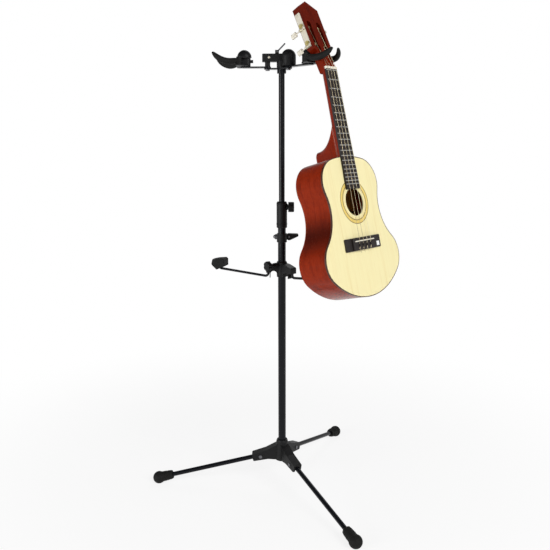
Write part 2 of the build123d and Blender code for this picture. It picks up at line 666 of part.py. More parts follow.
def body():
    whole = outline()
    inside = outline(RIB)
    field = outline(BINDING)
    with BuildPart() as top:
        with BuildSketch(Plane.XY.offset(-BOARD)):
            add(field)
            with Locations((0, HOLE_Y)):
                Circle(HOLE_R, mode=Mode.SUBTRACT)
            with Locations([(string_spot(i, BRIDGE_SPAN), PIN_Y) for i in range(STRINGS)]):
                Circle(2.2, mode=Mode.SUBTRACT)
        extrude(amount=BOARD)
        with BuildSketch(Plane.XY.offset(-ROSETTE_DEPTH)):
            with Locations((0, HOLE_Y)):
                Circle(ROSETTE_OUT)
                Circle(ROSETTE_IN, mode=Mode.SUBTRACT)
        extrude(amount=ROSETTE_DEPTH, mode=Mode.SUBTRACT)
    save(top, "soundboard", GUITAR)
    with BuildPart() as rosette:
        with BuildSketch(Plane.XY.offset(-ROSETTE_DEPTH)):
            with Locations((0, HOLE_Y)):
                Circle(ROSETTE_OUT)
                Circle(ROSETTE_IN, mode=Mode.SUBTRACT)
        extrude(amount=ROSETTE_DEPTH)
    save(rosette, "rosette", GUITAR)
    with BuildPart() as edge:
        with BuildSketch(Plane.XY.offset(-BINDING_DEPTH)):
            add(whole)
            add(field, mode=Mode.SUBTRACT)
        extrude(amount=BINDING_DEPTH)
    save(edge, "binding", GUITAR)
    with BuildPart() as sides:
        with BuildSketch(Plane.XY.offset(BOARD - DEPTH)):
            add(whole)
            add(inside, mode=Mode.SUBTRACT)
        extrude(amount=DEPTH - BOARD - BINDING_DEPTH)
        split(bisect_by=Plane.YZ, keep=Keep.BOTH)
    save(sides, "sides", GUITAR)
    with BuildPart() as back:
        with BuildSketch(Plane.XY.offset(-DEPTH)):
            add(whole)
        extrude(amount=BOARD)
    save(back, "back_board", GUITAR)


def body_inside():
    inner = outline(RIB)
    lining = outline(RIB + 5)
    low = BOARD - DEPTH
    with BuildPart() as frame:
        for middle, long, wide in ((BODY_TOP - 15, 30, 60), (BODY_END + 7, 14, 50)):
            with BuildSketch(Plane.XY.offset(low)) as end_block:
                add(inner)
                with Locations((0, middle)):
                    Rectangle(wide, long, mode=Mode.INTERSECT)
            extrude(end_block.sketch, amount=DEPTH - 2 * BOARD)
        for floor in (low, -BOARD - 10):
            with BuildSketch(Plane.XY.offset(floor)) as strip:
                add(inner)
                add(lining, mode=Mode.SUBTRACT)
                with Locations((0, BODY_TOP - 15), (0, BODY_END + 7)):
                    Rectangle(60 + 2 * GAP, 30, mode=Mode.SUBTRACT)
            extrude(strip.sketch, amount=10)
    save(frame, "linings_and_blocks", GUITAR)
    with BuildPart() as braces:
        under = -BOARD - 9
        for y, floor in ((HOLE_Y + 46, under), (HOLE_Y - 50, under), (UPPER_Y, low), (WAIST_Y, low), (LOWER_Y, low)):
            with BuildSketch(Plane.XY.offset(floor)) as bar:
                add(lining)
                with Locations((0, y)):
                    Rectangle(400, 8, mode=Mode.INTERSECT)
            extrude(bar.sketch, amount=9)
        for spread in (-1, 0, 1):
            with BuildSketch(Plane.XY.offset(-BOARD - 7)) as fan:
                with Locations(Pos(spread * 45, BODY_END + 73) * Rot(0, 0, spread * 14)):
                    Rectangle(6, 84)
            extrude(fan.sketch, amount=7)
        with BuildSketch(Plane.XY.offset(-BOARD - 3)) as bridge_plate:
            with Locations((0, -SCALE - 5)):
                RectangleRounded(150, 34, 4)
            with Locations([(string_spot(i, BRIDGE_SPAN), PIN_Y) for i in range(STRINGS)]):
                Circle(2.2, mode=Mode.SUBTRACT)
        extrude(bridge_plate.sketch, amount=3)
    save(braces, "braces", GUITAR)


def bridge():
    spots = [(string_spot(i, BRIDGE_SPAN), PIN_Y) for i in range(STRINGS)]
    middle = (0, -SCALE - 7)
    with BuildPart() as seat:
        with BuildSketch():
            with Locations(middle):
                RectangleRounded(BRIDGE_LENGTH, BRIDGE_WIDTH, 3)
        extrude(amount=3.5)
        with BuildSketch():
            with Locations(middle):
                RectangleRounded(SADDLE_LENGTH + 14, BRIDGE_WIDTH, 3)
        extrude(amount=BRIDGE_HIGH)
        fillet(edges().filter_by(Plane.XY).group_by(Axis.Z)[-1], 2)
        block((-SADDLE_LENGTH / 2, -SCALE - 1.5, 4), (SADDLE_LENGTH / 2, -SCALE + 1.5, 20), Mode.SUBTRACT)
        for spot in spots:
            rod((*spot, 0), (*spot, 20), 2.2, Mode.SUBTRACT)
    save(seat, "bridge", GUITAR)
    with BuildPart() as pins:
        for spot in spots:
            rod((*spot, -7), (*spot, BRIDGE_HIGH), 2.2)
            rod((*spot, BRIDGE_HIGH), (*spot, BRIDGE_HIGH + 1), 3)
            with Locations((*spot, BRIDGE_HIGH + 1)):
                Sphere(3, arc_size1=0, align=(Align.CENTER, Align.CENTER, Align.MIN))
    save(pins, "bridge_pins", GUITAR)


# Guitar neck

def finger_half(y):
    """Half the fingerboard's width at a distance along it."""
    return (NUT_WIDTH + (NECK_JOIN_WIDTH - NUT_WIDTH) * y / BODY_TOP) / 2


def neck():
    with BuildPart() as stick:
        sections = []
        for y, half, deep in ((NUT_Y + 8, NUT_WIDTH / 2 + 0.5, NECK_DEPTH), (-90, finger_half(-90), NECK_DEPTH),
                              (BODY_TOP - 8, finger_half(BODY_TOP), NECK_DEPTH + 2)):
            with BuildSketch(Plane((0, y, 0), x_dir=(1, 0, 0), z_dir=(0, -1, 0))) as section:
                with BuildLine():
                    Line((-half, 0), (half, 0))
                    EllipticalCenterArc((0, 0), half, deep, 180, arc_size=180)
                make_face()
            sections.append(section.sketch)
        loft(sections)
        heel = []
        for z, front, half in ((-8, 96, 22), (-28, 58, 22), (-50, 38, 19), (3 - DEPTH, 29, 15)):
            with BuildSketch(Plane.XY.offset(z)) as slice_face:
                with BuildLine():
                    start = BODY_TOP + front - 18
                    Polyline((-half, start), (-half, BODY_TOP - 8), (half, BODY_TOP - 8), (half, start))
                    EllipticalCenterArc((0, start), half, 18, 0, arc_size=180)
                make_face()
            heel.append(slice_face.sketch)
        loft(heel)
        head_wood()
        with BuildSketch(Plane.XY.offset(-DEPTH)) as butt:
            add(outline())
        extrude(butt.sketch, amount=DEPTH, mode=Mode.SUBTRACT)
        block((-60, BODY_TOP - 20, 0), (60, NUT_Y + 20, 20), Mode.SUBTRACT)
    save(stick, "neck", GUITAR)


def head_wood():
    """Slotted head, tipped back behind the nut."""
    throat = NUT_WIDTH / 2 + 1.5
    with BuildSketch(HEAD.offset(-HEAD_THICK)) as plan:
        with BuildLine():
            right = FilletPolyline((0, -10), (throat - 1.5, -10), (throat, HEAD_SHOULDER - 16),
                                   (HEAD_HALF, HEAD_SHOULDER - 3), (HEAD_HALF, HEAD_SIDE_END), radius=4)
            Line((HEAD_HALF, HEAD_SIDE_END), (0, HEAD_APEX))
            mirror(about=Plane.YZ)
        make_face()
    extrude(plan.sketch, amount=HEAD_THICK)
    with BuildSketch(HEAD.offset(-HEAD_THICK)) as slots:
        with Locations((-SLOT_X, (SLOT_LOW + SLOT_HIGH) / 2), (SLOT_X, (SLOT_LOW + SLOT_HIGH) / 2)):
            RectangleRounded(2 * SLOT_HALF, SLOT_HIGH - SLOT_LOW, SLOT_HALF - 0.5)
    extrude(slots.sketch, amount=HEAD_THICK, mode=Mode.SUBTRACT)
    for side in (-1, 1):
        ramp_plane = Plane(
            HEAD.from_local_coords((side * 13, 0, 0)),
            x_dir=HEAD.y_dir,
            z_dir=HEAD.x_dir,
        )
        with BuildSketch(ramp_plane) as ramp:
            with BuildLine():
                Polyline((20, 0.5), (SLOT_LOW + 6, 0.5), (SLOT_LOW + 6, -7.5), close=True)
            make_face()
        extrude(ramp.sketch, amount=6, both=True, mode=Mode.SUBTRACT)
        for y in ROLLERS.values():
            inner = HEAD.from_local_coords((side * 8, y, -HEAD_THICK / 2))
            outer = HEAD.from_local_coords((side * 50, y, -HEAD_THICK / 2))
            rod(tuple(inner), tuple(outer), ROLLER_R + RUN, Mode.SUBTRACT)


def fingerboard():
    fret_spots = [SCALE * (2 ** (-n / 12) - 1) for n in range(FRETS + 1)]
    with BuildPart() as board:
        with BuildSketch():
            with BuildLine():
                near = finger_half(3)
                far = finger_half(FINGER_END)
                Polyline((-near, 3), (near, 3), (far, FINGER_END), (-far, FINGER_END), close=True)
            make_face()
        extrude(amount=FINGER_THICK)
    save(board, "fingerboard", GUITAR)
    with BuildPart() as frets:
        for y in fret_spots:
            half = finger_half(y) - 0.5
            with BuildSketch(Plane((-half, y, FINGER_THICK), x_dir=(0, 1, 0), z_dir=(1, 0, 0))) as crown:
                Circle(FRET_R)
                with Locations((0, -FRET_R)):
                    Rectangle(4, 2 * FRET_R, mode=Mode.SUBTRACT)
            extrude(crown.sketch, amount=2 * half)
    save(frets, "frets", GUITAR)
    with BuildPart() as bones:
        block((-NUT_WIDTH / 2, 3, 0), (NUT_WIDTH / 2, NUT_Y, FINGER_THICK + FRET_R))
        block((-SADDLE_LENGTH / 2, -SCALE - 1.5, 4), (SADDLE_LENGTH / 2, -SCALE + 1.5, SADDLE_HIGH))
        fillet(edges().filter_by(Axis.X).group_by(Axis.Z)[-1], 1)
    save(bones, "nut_and_saddle", GUITAR)


def roller_point(x, y):
    """Point on top of a roller, in the guitar's frame, where a string lies."""
    return HEAD.from_local_coords((x, y, ROLLER_R + STRING_R + RUN - HEAD_THICK / 2))


def strings():
    rest = FINGER_THICK + FRET_R + STRING_R
    with BuildPart() as wires:
        for i in range(STRINGS):
            at_nut = string_spot(i, NUT_SPAN)
            at_bridge = string_spot(i, BRIDGE_SPAN)
            side = -1 if at_nut < 0 else 1
            outer = i in (0, STRINGS - 1)
            end = roller_point(side * (18 if outer else 14), ROLLERS["far" if outer else "near"])
            route = [
                (at_bridge, PIN_Y + 4, BRIDGE_HIGH + STRING_R),
                (at_bridge, -SCALE, SADDLE_HIGH + STRING_R + GAP),
                (at_nut, 0, rest),
                (at_nut, NUT_Y, rest),
                tuple(end),
            ]
            for start, stop in zip(route, route[1:]):
                rod(start, stop, STRING_R)
            for bend in route[1:-1]:
                with Locations(bend):
                    Sphere(STRING_R)
    save(wires, "strings", GUITAR)


# Tuners

def head_rod(start, end, radius, mode=Mode.ADD):
    """Round bar between two points given in the guitar head's frame."""
    rod(tuple(HEAD.from_local_coords(start)), tuple(HEAD.from_local_coords(end)), radius, mode)


def tuners():
    worm_x = HEAD_HALF + PLATE_THICK + GAP + WORM_R
    drop = GEAR_R + WORM_R + GAP
    middle = -HEAD_THICK / 2
    face = HEAD_HALF + PLATE_THICK
    with BuildPart() as plates:
        for side in (-1, 1):
            with BuildSketch(Plane(HEAD.from_local_coords((side * HEAD_HALF, 0, 0)), x_dir=HEAD.y_dir,
                                   z_dir=HEAD.x_dir * side)) as strip:
                with Locations((HEAD_SHOULDER - 1.5 + PLATE_LENGTH / 2, side * middle)):
                    RectangleRounded(PLATE_LENGTH, HEAD_THICK - 3, 3)
            extrude(strip.sketch, amount=PLATE_THICK)
            for y in ROLLERS.values():
                for low in (-3.8, 1.2 - HEAD_THICK):
                    with Locations(HEAD.location * Pos(side * (face + 3), y - drop, low + 1.3)):
                        Box(6, 6.4, 2.6)
                shaft = side * worm_x
                head_rod((shaft, y - drop, -HEAD_THICK), (shaft, y - drop, 0), 1.6 + RUN, Mode.SUBTRACT)
                head_rod((side * HEAD_HALF, y, middle), (side * 50, y, middle), ROLLER_R + RUN, Mode.SUBTRACT)
    save(plates, "tuner_plates", GUITAR)
    for side_name, side in (("left", -1), ("right", 1)):
        for row, y in ROLLERS.items():
            with BuildPart() as roller:
                head_rod((side * 8.5, y, middle), (side * (face + GAP), y, middle), ROLLER_R)
                gear_plane = Plane(HEAD.from_local_coords((side * (face + GAP), y, middle)),
                                   x_dir=HEAD.y_dir, z_dir=HEAD.x_dir * side)
                with BuildSketch(gear_plane) as gear:
                    Circle(GEAR_R)
                    with PolarLocations(GEAR_R, 14):
                        Circle(0.75, mode=Mode.SUBTRACT)
                extrude(gear.sketch, amount=3.2)
                head_rod((side * (face + 3), y, middle), (side * (face + 5), y, middle), 2.8)
            save(roller, f"tuner_roller_{side_name}_{row}", GUITAR)
            at = (side * worm_x, y - drop)
            with BuildPart() as button:
                head_rod((*at, -32), (*at, -1), 1.6)
                head_rod((*at, -15), (*at, -4.2), WORM_R)
                with BuildSketch(HEAD.offset(-44)) as grip:
                    with Locations(at):
                        RectangleRounded(8, 13, 3.5)
                extrude(grip.sketch, amount=14)
            save(button, f"tuner_button_{side_name}_{row}", GUITAR)


base_hub()
leg_pins()
legs_and_feet()
mast()
clutch()
cam()
backrest()
head()
yokes()
body()
body_inside()
bridge()
neck()
fingerboard()
strings()
tuners()
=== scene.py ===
import json
from math import cos, pi, radians, sin

import bmesh
import bpy
from mathutils import Matrix, Vector


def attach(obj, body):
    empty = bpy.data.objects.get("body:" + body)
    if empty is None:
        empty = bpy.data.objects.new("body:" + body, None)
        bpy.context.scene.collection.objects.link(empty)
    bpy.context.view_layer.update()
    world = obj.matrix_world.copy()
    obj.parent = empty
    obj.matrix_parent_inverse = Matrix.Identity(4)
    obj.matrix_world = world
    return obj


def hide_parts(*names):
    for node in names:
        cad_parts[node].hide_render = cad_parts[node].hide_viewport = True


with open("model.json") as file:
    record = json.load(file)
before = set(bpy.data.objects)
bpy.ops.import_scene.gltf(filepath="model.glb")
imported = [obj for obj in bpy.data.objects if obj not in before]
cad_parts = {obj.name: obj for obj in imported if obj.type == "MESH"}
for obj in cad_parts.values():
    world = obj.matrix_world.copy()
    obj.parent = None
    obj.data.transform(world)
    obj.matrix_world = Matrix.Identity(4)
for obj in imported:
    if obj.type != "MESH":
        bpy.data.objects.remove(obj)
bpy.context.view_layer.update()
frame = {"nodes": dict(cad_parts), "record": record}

nodes = frame["nodes"]

# Stand, in metres, with turns in degrees about the mast

MAST_X = 0.0378
LEG_TURNS = {"left": 180.0, "rear": 60.0, "front": -60.0}
LEG_ROOT_Z = 0.1035         # where the three leg axes meet on the mast
FOOT_R = 0.369              # mast to the middle of a foot
FOOT_Z = 0.015
FOOT_NECK = 0.010           # from a foot's middle back to where its sleeve starts
FOOT_TAPER = 0.08
RIDGES = (0.020, 0.025, 0.030, 0.035)  # from a foot's middle back to each ridge
RIDGE_R = 0.0148            # ring of a ridge, if it lay at the foot's neck
RIDGE_WIRE = 0.0009
CLUTCH_RINGS = (0.7775, 0.7805, 0.8335)  # heights
CLUTCH_RING_R = 0.0146
CLUTCH_RING_WIRE = 0.0007
BLOCK_SCREW = (MAST_X - 0.033, -0.011, 1.2175)
BLOCK_SCREW_R = 0.0032
PAD_TURNS = {"left": 162.0, "right": -43.0}
PAD_REAR = 0.028            # what lies further than this behind a pad's outer end
PAD_LONGER = 0.009          # is drawn back by this
PAD_VOXEL = 0.0009
PAD_SMOOTHING = 12

# Body and neck of the guitar, in metres on its own axes

ARM_TURN = radians(-43.0)   # yoke arm that holds it
LEAN = radians(14.6)
HANG_AT = 0.1495            # mast to the middle of the neck in the yoke
HANG_Z = 1.1935
HANG_Y = 0.024              # that point on the guitar, above the zero fret
HANG_DEPTH = 0.009          # and below its face
SCALE = 0.427               # zero fret to saddle
DEPTH = 0.086
BOARD = 0.0025
RAW_WOOD_Z = BOARD - DEPTH - 0.00005  # just under the back board's inner face
HOLE_Y = -0.329
ROSETTE_IN = 0.040
ROSETTE_OUT = 0.0555
STRINGS = 4
STRING_R = 0.00045

# Bridge

BRIDGE_LENGTH = 0.143
BRIDGE_SPAN = 0.046
BRIDGE_HIGH = 0.0085
TILE = 0.011
TILE_THICK = 0.0006
TILE_EDGE = 0.00015
TILE_AT = (BRIDGE_LENGTH / 2 - 0.0115, -SCALE - 0.013, 0.0037)
TAIL_Y = -SCALE - 0.0145
TAIL_Z = BRIDGE_HIGH + 0.0004
TAIL_TIP_R = STRING_R * 0.8
TAIL_FALL = 0.12
TAILS = ((-0.35, 0.012), (0.25, 0.015))  # lean and length of the two tails of a string

# Head of the guitar, on axes that lean back with it

NUT_Y = 0.009
HEAD_ANGLE = radians(12.0)
HEAD_HALF = 0.0375
HEAD_THICK = 0.019
HEAD_SHOULDER = 0.0576
PLATE_THICK = 0.0012
PLATE_LENGTH = 0.092
PLATE_LOW = HEAD_SHOULDER - 0.0015
PLATE_SCREWS = (0.06, 0.5, 0.94)  # shares of the plate's length
PLATE_SCREW_R = 0.0022
ROLLERS = {"near": 0.0675, "far": 0.1135}
ROLLER_R = 0.0045
ROLLER_Z = -HEAD_THICK / 2
GEAR_R = 0.006
WORM_R = 0.0026
WORM_GAP = 0.0003           # worm to its plate and to its gear
WORM_X = HEAD_HALF + PLATE_THICK + WORM_GAP + WORM_R
WORM_DROP = GEAR_R + WORM_R + WORM_GAP
THREAD_TURNS = 7
THREAD_LOW = -0.0145
THREAD_PITCH = 0.0016
THREAD_R = WORM_R - 0.0001
THREAD_WIRE = 0.00035
WINDINGS = {"near": 0.014, "far": 0.018}  # middle line to the middle of a string's winding
WINDING_TURNS = 4
WINDING_PITCH = 0.0011

# Meshes

SAME_SPOT = 1e-6            # points closer than this are one
PAD_SAME_SPOT = 1e-5
WIRE_SIDES = 10
SHARP_ANGLE = radians(40)

# Darker bands: painted shade round the sides' waist, and darker stain on the head; each gives its middle
# along the guitar, how far it reaches and how strong it is

# painted shade: the sides are darkened round the waist
WAIST_PAINTED_SHADE = (-0.395, 0.065, 0.85)
HEAD_SHADE = (0.12, 0.2, 0.6)

# Studio and camera, which is fitted to the photograph

FLOOR_HALF = 12.0
LIT_POINT = Vector((0.05, 0, 0.75))
EYE = Vector((MAST_X, -1.791, 0.999))
HEADING = radians(0.62)
PITCH = radians(11.51)
ROLL = radians(0.2)
FRAME_PIXELS = 550.0
FOCAL_PIXELS = 650.7
SENSOR_WIDTH = 36.0         # millimetres

# The guitar's own axes: X across the face, Y towards the head, Z out of the face

across = Vector((-sin(ARM_TURN), cos(ARM_TURN), 0))
outward = Vector((cos(LEAN) * cos(ARM_TURN), cos(LEAN) * sin(ARM_TURN), sin(LEAN)))
along = outward.cross(across)
yoke_out = Vector((cos(ARM_TURN), sin(ARM_TURN), 0))
zero_fret = Vector((MAST_X, 0, HANG_Z)) + yoke_out * HANG_AT - along * HANG_Y + outward * HANG_DEPTH
guitar = Matrix((across, along, outward)).transposed().to_4x4()
guitar.translation = zero_fret
head = guitar @ Matrix.Translation((0, NUT_Y, 0)) @ Matrix.Rotation(-HEAD_ANGLE, 4, "X")


# Shader maths

class Value:
    """A socket that takes part in sums; each sum adds a Math node."""

    def __init__(self, finish, socket):
        self.finish = finish
        self.socket = socket

    def maths(self, operation, first, second):
        sockets = {0: first, 1: second}
        return self.finish.node("ShaderNodeMath", {"operation": operation}, sockets)

    def __add__(self, other):
        return self.maths("ADD", self, other)

    def __radd__(self, other):
        return self.maths("ADD", other, self)

    def __sub__(self, other):
        return self.maths("SUBTRACT", self, other)

    def __rsub__(self, other):
        return self.maths("SUBTRACT", other, self)

    def __mul__(self, other):
        return self.maths("MULTIPLY", self, other)

    def __rmul__(self, other):
        return self.maths("MULTIPLY", other, self)

    def above(self, edge):
        return self.maths("GREATER_THAN", self, edge)

    def size(self):
        return self.maths("ABSOLUTE", self, 0.0)


def opaque(colour):
    """A colour with full alpha; a linked colour stays as it is."""
    if isinstance(colour, Value):
        return colour
    return (*colour, 1)


class Nodes:
    """A node tree with short ways to add nodes to it."""

    def __init__(self, tree):
        self.tree = tree

    def node(self, kind, settings, sockets, output=0):
        """Adds a node with its settings, a ramp's stops among them, and its sockets; returns an output."""
        made = self.tree.nodes.new(kind)
        stops = settings.pop("stops", [])
        for name, value in settings.items():
            setattr(made, name, value)
        if stops:
            elements = made.color_ramp.elements
            elements[0].position = stops[0][0]
            elements[-1].position = stops[-1][0]
            for place, _ in stops[1:-1]:
                elements.new(place)
            for element, (_, colour) in zip(elements, stops):
                element.color = opaque(colour)
        for name, value in sockets.items():
            self.feed(made.inputs[name], value)
        return Value(self, made.outputs[output])

    def feed(self, socket, value):
        if isinstance(value, Value):
            self.tree.links.new(value.socket, socket)
        else:
            socket.default_value = value

    def place(self, axes=None, stretch=(1, 1, 1)):
        """Object coordinates, seen in the given axes and stretched."""
        spot = self.node("ShaderNodeTexCoord", {}, {}, "Object")
        if axes is not None:
            sockets = {"Vector": spot, "Location": axes.translation, "Rotation": axes.to_euler()}
            spot = self.node("ShaderNodeMapping", {"vector_type": "TEXTURE"}, sockets)
        return self.node("ShaderNodeMapping", {}, {"Vector": spot, "Scale": stretch})

    def noise(self, spot, scale, detail=3.0, rough=0.5):
        sockets = {"Vector": spot, "Scale": scale, "Detail": detail, "Roughness": rough}
        return self.node("ShaderNodeTexNoise", {}, sockets, "Fac")

    def part(self, spot, axis):
        return self.node("ShaderNodeSeparateXYZ", {}, {"Vector": spot}, axis)

    def length(self, spot):
        return self.node("ShaderNodeVectorMath", {"operation": "LENGTH"}, {0: spot}, "Value")

    def mix(self, factor, low, high):
        """Goes from the low colour to the high one while the factor goes from 0 to 1."""
        first_colour, second_colour, mixed_colour = 6, 7, 2
        sockets = {"Factor": factor, first_colour: opaque(low), second_colour: opaque(high)}
        return self.node("ShaderNodeMix", {"data_type": "RGBA"}, sockets, mixed_colour)

    def ramp(self, factor, stops):
        return self.node("ShaderNodeValToRGB", {"stops": stops}, {"Fac": factor}, "Color")

    def ray(self, kind):
        return self.node("ShaderNodeLightPath", {}, {}, kind)

    def fade(self, value, start, end, low, high):
        """Goes smoothly from low to high while the value goes from start to end."""
        sockets = {"Value": value, "From Min": start, "From Max": end, "To Min": low, "To Max": high}
        return self.node("ShaderNodeMapRange", {"interpolation_type": "SMOOTHSTEP"}, sockets)


class Finish(Nodes):
    """A material with its shader and the nodes that feed it."""

    def __init__(self, name, **constants):
        self.material = bpy.data.materials.new(name)
        self.material.use_nodes = True
        super().__init__(self.material.node_tree)
        self.shader = self.tree.nodes["Principled BSDF"]
        for socket, value in constants.items():
            self.shader.inputs[socket.replace("_", " ")].default_value = value

    def set(self, socket, value):
        self.feed(self.shader.inputs[socket], value)

    def bump(self, height, depth, strength):
        sockets = {"Height": height, "Distance": depth, "Strength": strength}
        self.set("Normal", self.node("ShaderNodeBump", {}, sockets))


# Finishes

def darker(colour, share):
    return tuple(part * share for part in colour)


def black_coat():
    """Gloss powder coat with a faint orange peel and a little dust."""
    clean = (0.002, 0.002, 0.003)
    dusty = (0.006, 0.007, 0.010)
    coat = Finish("black_coat", Coat_Weight=0.08, Coat_Roughness=0.1, Specular_IOR_Level=0.13)
    spot = coat.place()
    dust = coat.noise(spot, scale=55.0, detail=5.0, rough=0.65)
    peel = coat.noise(spot, scale=420.0, detail=2.0)
    coat.set("Base Color", coat.mix(dust, clean, dusty))
    coat.set("Roughness", dust * 0.14 + 0.16)
    coat.bump(peel, depth=0.00006, strength=0.2)
    return coat.material


def moulded_black():
    """Spark-grained nylon moulding, paler where it is handled."""
    fresh = (0.003, 0.003, 0.003)
    rubbed = (0.010, 0.010, 0.011)
    plastic = Finish("moulded_black", Specular_IOR_Level=0.2)
    spot = plastic.place()
    grain = plastic.noise(spot, scale=1400.0, rough=0.6)
    rub = plastic.noise(spot, scale=38.0, detail=4.0, rough=0.6)
    plastic.set("Base Color", plastic.mix(rub, fresh, rubbed))
    plastic.set("Roughness", rub * 0.22 + 0.38)
    plastic.bump(grain, depth=0.00012, strength=0.35)
    return plastic.material


def black_rubber():
    """Matt moulded rubber with fine bloom."""
    fresh = (0.003, 0.003, 0.003)
    bloomed = (0.011, 0.011, 0.010)
    rubber = Finish("black_rubber", Specular_IOR_Level=0.18)
    spot = rubber.place()
    bloom = rubber.noise(spot, scale=90.0, detail=6.0, rough=0.7)
    pebble = rubber.noise(spot, scale=900.0, detail=4.0)
    rubber.set("Base Color", rubber.mix(bloom, fresh, bloomed))
    rubber.set("Roughness", bloom * 0.2 + 0.58)
    rubber.bump(pebble, depth=0.00015, strength=0.4)
    return rubber.material


def plated_steel(name, bright, dull):
    """Plated steel, finely brushed and stained in patches."""
    metal = Finish(name, Metallic=1.0)
    brush = metal.noise(metal.place(stretch=(1, 1, 12)), scale=600.0, detail=4.0)
    darkening = metal.noise(metal.place(), scale=120.0, detail=4.0, rough=0.6)
    metal.set("Base Color", metal.mix(darkening, bright, dull))
    metal.set("Roughness", brush * 0.12 + 0.62)
    metal.bump(brush, depth=0.00004, strength=0.4)
    return metal.material


def grey_zinc():
    """Dull grey zinc with a cloudy cast."""
    dark = (0.10, 0.10, 0.11)
    pale = (0.19, 0.19, 0.20)
    metal = Finish("grey_zinc", Metallic=0.8)
    cast = metal.noise(metal.place(), scale=300.0, detail=5.0, rough=0.6)
    metal.set("Base Color", metal.mix(cast, dark, pale))
    metal.set("Roughness", cast * 0.2 + 0.35)
    metal.bump(cast, depth=0.0001, strength=0.4)
    return metal.material


def dull_brass():
    """Brass that has tarnished in patches."""
    clean = (0.60, 0.50, 0.22)
    tarnished = (0.30, 0.26, 0.10)
    metal = Finish("dull_brass", Metallic=1.0)
    tarnish = metal.noise(metal.place(), scale=260.0, detail=5.0, rough=0.65)
    metal.set("Base Color", metal.mix(tarnish, clean, tarnished))
    metal.set("Roughness", tarnish * 0.3 + 0.25)
    metal.bump(tarnish, depth=0.00005, strength=0.4)
    return metal.material


def spruce(name, pale, line):
    """Straight-grained softwood, mirrored about the guitar's middle line, under satin lacquer."""
    wood = Finish(name, Specular_IOR_Level=0.35, Coat_Weight=0.25, Coat_Roughness=0.2)
    spot = wood.place(guitar)
    mirrored = wood.part(spot, "X").size()
    length = wood.part(spot, "Y")
    drift = wood.noise(wood.place(guitar, (1, 0.12, 1)), scale=9.0, detail=2.0)
    sockets = {"X": mirrored + drift * 0.012, "Y": length * 0.02, "Z": 0.0}
    fibre = wood.node("ShaderNodeCombineXYZ", {}, sockets)
    growth = wood.noise(fibre, scale=420.0, detail=2.0, rough=0.4)
    wide = wood.noise(fibre, scale=60.0, detail=2.0)
    streak = wood.noise(wood.place(guitar, (1, 0.03, 1)), scale=900.0, rough=0.6)
    tone = growth * 0.55 + wide * 0.3 + streak * 0.15
    wood.set("Base Color", wood.ramp(tone, [(0.3, line), (0.5, pale), (0.8, pale)]))
    wood.set("Roughness", streak * 0.15 + 0.3)
    wood.bump(streak, depth=0.00005, strength=0.3)
    return wood.material


def mahogany(name, dark, bright, raw_above=None, stain_and_painted_shade=None):
    """Red-brown wood under gloss lacquer, with its grain along the guitar.

    It can be raw above a height on the guitar's Z axis, and it can have a darker band along it: painted
    shade for the sides' waist, darker stain for the head.
    """
    raw_dark = (0.80, 0.40, 0.08)
    raw_pale = (0.90, 0.54, 0.15)
    wood = Finish(name, Specular_IOR_Level=0.12, Specular_Tint=(1, 0.35, 0.15, 1), Coat_Roughness=0.04)
    wide = wood.noise(wood.place(guitar, (1, 0.1, 1)), scale=38.0, rough=0.55)
    fine = wood.noise(wood.place(guitar, (1, 0.05, 1)), scale=420.0, detail=4.0, rough=0.6)
    pores = wood.noise(wood.place(guitar, (1, 0.02, 1)), scale=1500.0, detail=2.0).above(0.62)
    tone = wide * 0.6 + fine * 0.4
    colour = wood.ramp(tone, [(0.3, dark), (0.52, bright), (0.75, dark)])
    colour = wood.mix(pores * 0.35, colour, darker(dark, 0.35))
    lacquer = 1.0
    # darker band along the guitar: painted shade on the sides' waist, darker stain on the head
    if stain_and_painted_shade is not None:
        middle, reach, amount = stain_and_painted_shade
        from_middle = (wood.part(wood.place(guitar), "Y") - middle).size()
        darkening = wood.fade(from_middle, start=0.0, end=reach, low=amount, high=0.0)
        colour = wood.mix(darkening, colour, darker(dark, 0.3))
    if raw_above is not None:
        raw = wood.part(wood.place(guitar), "Z").above(raw_above)
        colour = wood.mix(raw, colour, wood.mix(fine, raw_dark, raw_pale))
        lacquer = 1 - raw
    wood.set("Base Color", colour)
    wood.set("Roughness", fine * 0.12 + 0.2)
    wood.set("Coat Weight", lacquer * 0.12)
    wood.bump(fine, depth=0.00004, strength=0.25)
    return wood.material


def ebony():
    """Black dyed hardwood with short open pores."""
    dark = (0.010, 0.008, 0.008)
    pale = (0.036, 0.028, 0.026)
    pore = (0.004, 0.003, 0.003)
    wood = Finish("ebony", Specular_IOR_Level=0.22)
    fine = wood.noise(wood.place(guitar, (1, 0.04, 1)), scale=520.0, detail=4.0, rough=0.6)
    pores = wood.noise(wood.place(guitar, (1, 0.06, 1)), scale=1700.0, detail=2.0).above(0.6)
    wood.set("Base Color", wood.mix(pores * 0.5, wood.mix(fine, dark, pale), pore))
    wood.set("Roughness", fine * 0.2 + 0.34)
    wood.bump(fine - pores * 0.5, depth=0.00008, strength=0.4)
    return wood.material


def dark_edge():
    """Dark lacquered edge strip round the soundboard."""
    dark = (0.035, 0.010, 0.005)
    brown = (0.075, 0.024, 0.010)
    strip = Finish("dark_edge", Specular_IOR_Level=0.4)
    blend = strip.noise(strip.place(guitar), scale=160.0, detail=4.0)
    strip.set("Base Color", strip.mix(blend, dark, brown))
    strip.set("Roughness", blend * 0.15 + 0.22)
    return strip.material


